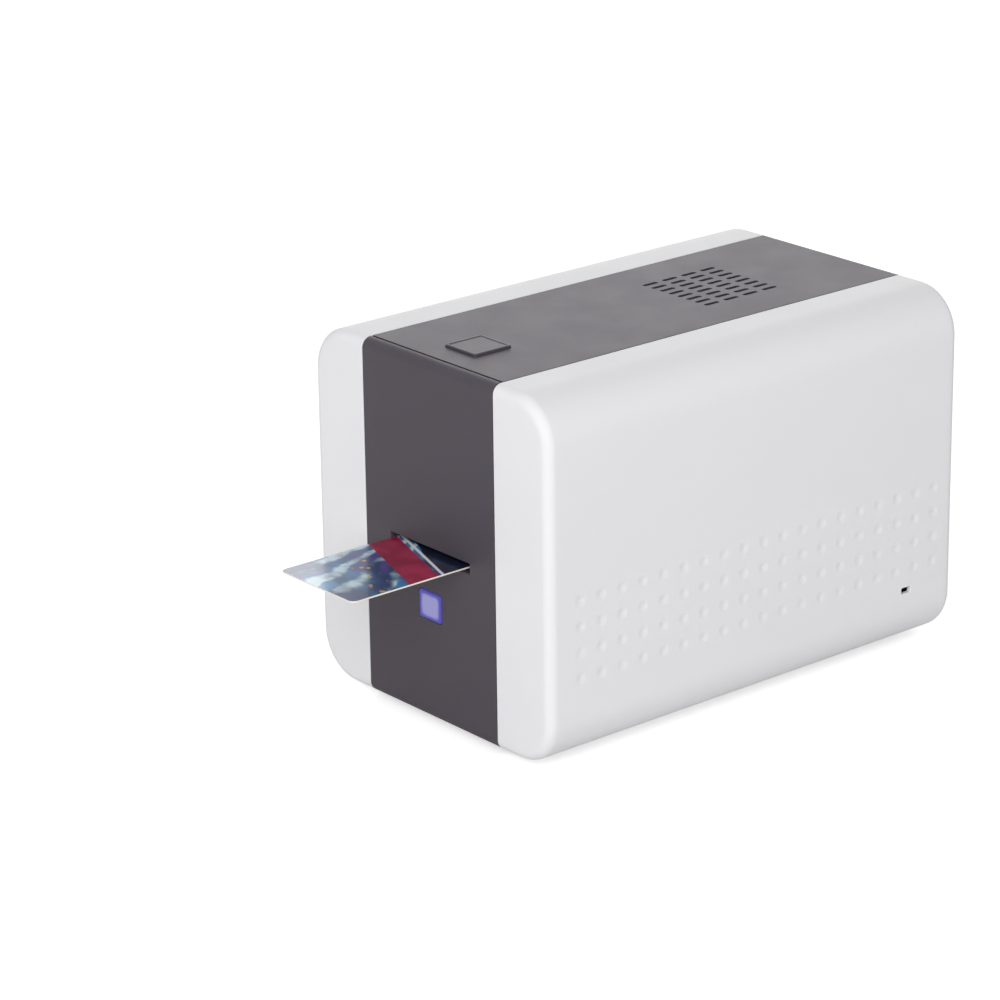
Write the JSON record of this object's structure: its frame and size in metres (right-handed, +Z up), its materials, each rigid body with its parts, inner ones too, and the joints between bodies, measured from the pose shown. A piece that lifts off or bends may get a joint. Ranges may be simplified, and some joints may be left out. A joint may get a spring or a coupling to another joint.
{
  "type": "id card printer",
  "caption": "Desktop card printer with rounded white side panels, dark hinged lid, front card slot, lit button, roller card path and ribbon drive.",
  "frame": {"origin": "centre of the body's footprint on the plane that the feet stand on", "axes": "+Z up, -Y towards the front with the card slot, +X towards the side panel with the lock slot"},
  "size_m": [0.17, 0.3293, 0.1813],
  "materials": {
    "white_shell": "fine satin moulded plastic",
    "dark_shell": "fine textured moulded plastic",
    "dark_button": "smooth moulded plastic",
    "black_plastic": "moulded",
    "guide_plastic": "moulded, low friction",
    "cartridge_plastic": "moulded",
    "gear_plastic": "acetal",
    "frame_steel": "zinc plated sheet",
    "black_steel": "blackened sheet",
    "shaft_steel": "ground",
    "screw_steel": "plated",
    "spring_steel": "drawn wire",
    "bush_brass": "sintered",
    "sleeve_rubber": "ground",
    "cleaning_sleeve": "soft silicone",
    "foot_rubber": "moulded",
    "belt_rubber": "toothless flat",
    "film": "thin coated film",
    "sink_aluminium": "extruded",
    "head_ceramic": "glazed ceramic",
    "board_green": "solder mask",
    "lit_plastic": "translucent, lit from behind",
    "card_plastic": "printed laminated card"
  },
  "bodies": {
    "chassis": {"base_tray": "dark_shell", "rubber_feet": "foot_rubber", "left_side_panel": "white_shell", "right_side_panel": "white_shell", "front_cover": "dark_shell", "rear_cover": "dark_shell", "slot_throat": "black_plastic", "left_side_frame": "frame_steel", "right_side_frame": "frame_steel", "tie_rods": "shaft_steel", "roller_bushes": "bush_brass", "left_card_guide": "guide_plastic", "right_card_guide": "guide_plastic", "ribbon_cartridge": "cartridge_plastic", "ribbon_film": "film", "drive_belt": "belt_rubber", "transport_motor": "frame_steel", "ribbon_motor": "frame_steel", "gear_posts": "shaft_steel", "main_board": "board_green", "board_parts": "black_plastic", "usb_socket": "frame_steel", "power_jack": "black_plastic", "power_switch_body": "black_plastic", "light_board": "board_green", "lock_plate": "black_steel", "card_sensor": "black_plastic", "frame_screws": "screw_steel", "latch_strikes": "shaft_steel"},
    "lid": {"lid_shell": "dark_shell", "head_bracket": "frame_steel", "head_springs": "spring_steel", "hinge_pins": "shaft_steel", "head_screws": "screw_steel"},
    "print_head_unit": {"heat_sink": "sink_aluminium", "print_head": "head_ceramic"},
    "release_button": {"release_button": "dark_button"},
    "latch": {"latch_bar": "shaft_steel"},
    "front_button": {"front_button": "lit_plastic"},
    "power_rocker": {"rocker": "black_plastic"},
    "platen": {"platen_shaft": "shaft_steel", "platen_sleeve": "sleeve_rubber", "platen_gear": "gear_plastic"},
    "eject_roller": {"eject_shaft": "shaft_steel", "eject_sleeve": "sleeve_rubber"},
    "cleaning_drive_roller": {"cleaning_drive_shaft": "shaft_steel", "cleaning_drive_sleeve": "sleeve_rubber"},
    "rear_feed_roller": {"rear_feed_shaft": "shaft_steel", "rear_feed_sleeve": "sleeve_rubber"},
    "eject_pinch": {"eject_pinch_roller": "sleeve_rubber"},
    "cleaning_roller": {"cleaning_roller": "cleaning_sleeve"},
    "rear_pinch": {"rear_pinch_roller": "sleeve_rubber"},
    "idler_gear": {"idler_gear": "gear_plastic"},
    "motor_pinion": {"motor_pinion": "shaft_steel"},
    "take_up": {"take_up_drive": "gear_plastic", "take_up_spool": "film"},
    "supply": {"supply_spool": "film"},
    "ribbon_idler": {"ribbon_idler_gear": "gear_plastic"},
    "ribbon_pinion": {"ribbon_pinion": "shaft_steel"},
    "card": {"card": "card_plastic"}
  },
  "joints": [
    {"name": "lid_hinge", "type": "hinge", "parent": "chassis", "child": "lid", "pos_m": [0, 0.123, 0.173], "axis": [-1, 0, 0], "range_deg": [0, 75]},
    {"name": "release_press", "type": "slide", "parent": "lid", "child": "release_button", "axis": [0, 0, -1], "range_m": [0, 0.0025], "stiffness_N_per_m": 400},
    {"name": "latch_turn", "type": "hinge", "parent": "lid", "child": "latch", "pos_m": [0, -0.111, 0.164], "axis": [-1, 0, 0], "range_deg": [0, 15]},
    {"name": "head_float", "type": "slide", "parent": "lid", "child": "print_head_unit", "axis": [0, 0, 1], "range_m": [0, 0.0012], "stiffness_N_per_m": 6000, "deforming": ["head_springs"]},
    {"name": "front_button_press", "type": "slide", "parent": "chassis", "child": "front_button", "axis": [0, 1, 0], "range_m": [0, 0.001], "stiffness_N_per_m": 500},
    {"name": "power_rocker_tilt", "type": "hinge", "parent": "chassis", "child": "power_rocker", "pos_m": [0.026, 0.128, 0.0221], "axis": [0, 0, -1], "range_deg": [0, 16]},
    {"name": "platen_spin", "type": "hinge", "parent": "chassis", "child": "platen", "pos_m": [0, -0.03, 0.07982], "axis": [1, 0, 0], "continuous": true},
    {"name": "eject_spin", "type": "hinge", "parent": "chassis", "child": "eject_roller", "pos_m": [0, -0.114, 0.07982], "axis": [1, 0, 0], "continuous": true},
    {"name": "cleaning_drive_spin", "type": "hinge", "parent": "chassis", "child": "cleaning_drive_roller", "pos_m": [0, -0.078, 0.07982], "axis": [1, 0, 0], "continuous": true},
    {"name": "rear_feed_spin", "type": "hinge", "parent": "chassis", "child": "rear_feed_roller", "pos_m": [0, 0.015, 0.07982], "axis": [1, 0, 0], "continuous": true},
    {"name": "eject_pinch_spin", "type": "hinge", "parent": "chassis", "child": "eject_pinch", "pos_m": [0, -0.114, 0.09168], "axis": [1, 0, 0], "continuous": true},
    {"name": "cleaning_roller_spin", "type": "hinge", "parent": "chassis", "child": "cleaning_roller", "pos_m": [0, -0.078, 0.09218], "axis": [1, 0, 0], "continuous": true},
    {"name": "rear_pinch_spin", "type": "hinge", "parent": "chassis", "child": "rear_pinch", "pos_m": [0, 0.015, 0.09168], "axis": [1, 0, 0], "continuous": true},
    {"name": "idler_gear_spin", "type": "hinge", "parent": "chassis", "child": "idler_gear", "pos_m": [0, -0.03, 0.05182], "axis": [1, 0, 0], "continuous": true},
    {"name": "motor_spin", "type": "hinge", "parent": "chassis", "child": "motor_pinion", "pos_m": [0, -0.03, 0.03082], "axis": [1, 0, 0], "continuous": true},
    {"name": "take_up_spin", "type": "hinge", "parent": "chassis", "child": "take_up", "pos_m": [0, -0.092, 0.118], "axis": [1, 0, 0], "continuous": true},
    {"name": "supply_spin", "type": "hinge", "parent": "chassis", "child": "supply", "pos_m": [0, 0.028, 0.118], "axis": [1, 0, 0], "continuous": true},
    {"name": "ribbon_idler_spin", "type": "hinge", "parent": "chassis", "child": "ribbon_idler", "pos_m": [0, -0.098, 0.08352], "axis": [1, 0, 0], "continuous": true},
    {"name": "ribbon_motor_spin", "type": "hinge", "parent": "chassis", "child": "ribbon_pinion", "pos_m": [0, -0.098, 0.05902], "axis": [1, 0, 0], "continuous": true},
    {"name": "card_slide", "type": "slide", "parent": "chassis", "child": "card", "axis": [0, 1, 0], "range_m": [-0.025, 0.164]}
  ],
  "couplings": [
    {"joint": "latch_turn", "follows": "release_press", "rad_per_m": 100},
    {"joint": "eject_spin", "follows": "platen_spin", "ratio": 1},
    {"joint": "cleaning_drive_spin", "follows": "platen_spin", "ratio": 1},
    {"joint": "rear_feed_spin", "follows": "platen_spin", "ratio": 1},
    {"joint": "eject_pinch_spin", "follows": "platen_spin", "ratio": -1.625},
    {"joint": "cleaning_roller_spin", "follows": "platen_spin", "ratio": -1.4444},
    {"joint": "rear_pinch_spin", "follows": "platen_spin", "ratio": -1.625},
    {"joint": "idler_gear_spin", "follows": "platen_spin", "ratio": -1},
    {"joint": "motor_spin", "follows": "platen_spin", "ratio": 2},
    {"joint": "supply_spin", "follows": "take_up_spin", "ratio": 0.88235},
    {"joint": "ribbon_idler_spin", "follows": "take_up_spin", "ratio": -1},
    {"joint": "ribbon_motor_spin", "follows": "take_up_spin", "ratio": 2.5}
  ]
}
